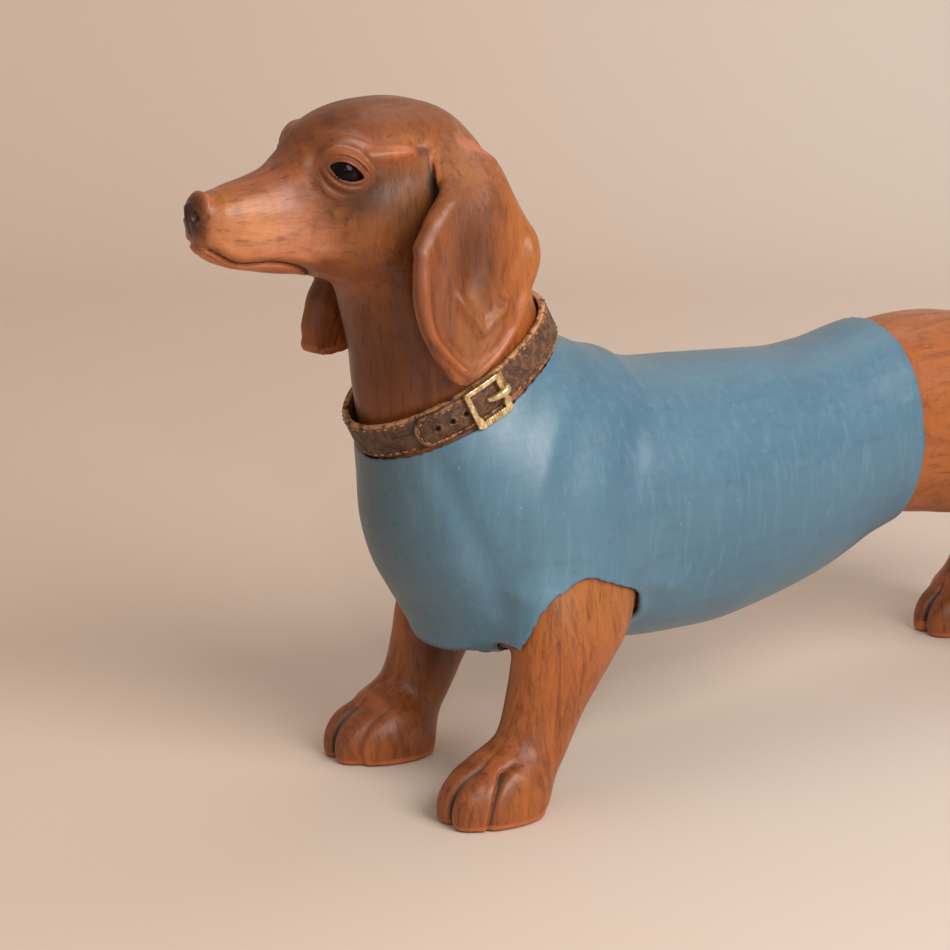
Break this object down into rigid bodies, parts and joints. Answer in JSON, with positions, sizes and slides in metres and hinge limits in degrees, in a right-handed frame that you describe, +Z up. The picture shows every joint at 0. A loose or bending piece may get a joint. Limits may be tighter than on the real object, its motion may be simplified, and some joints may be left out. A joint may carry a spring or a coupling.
{
  "type": "dachshund figurine",
  "caption": "Standing long-bodied dog figurine in a painted sleeveless coat, with hanging ears, glass eyes and a buckled collar; it rests on foot pads.",
  "frame": {"origin": "centre of the bounding box at the height of the ground under the four feet", "axes": "+X from nose to tail, +Y to the dog's right, +Z up"},
  "size_m": [0.4478, 0.1024, 0.241],
  "materials": {
    "fur_glaze": "hand-painted brown fur with a dark wash, satin varnish",
    "coat_paint": "blue-grey hand-brushed paint on a raised relief, satin varnish",
    "eye_glass": "dark brown, high gloss",
    "collar_leather": "dark brown with paler rubbed edges and orange stitching",
    "buckle_brass": "worn pale gold",
    "foot_pad": "dark, matt"
  },
  "bodies": {
    "root": {"torso": "fur_glaze", "coat": "coat_paint", "head": "fur_glaze", "left_ear": "fur_glaze", "right_ear": "fur_glaze", "left_eye": "eye_glass", "right_eye": "eye_glass", "collar_strap": "collar_leather", "collar_tongue": "collar_leather", "buckle_frame": "buckle_brass", "buckle_prong": "buckle_brass", "front_left_leg": "fur_glaze", "front_right_leg": "fur_glaze", "hind_left_leg": "fur_glaze", "hind_right_leg": "fur_glaze", "tail": "fur_glaze", "front_left_pad": "foot_pad", "front_right_pad": "foot_pad", "hind_left_pad": "foot_pad", "hind_right_pad": "foot_pad"}
  },
  "joints": []
}
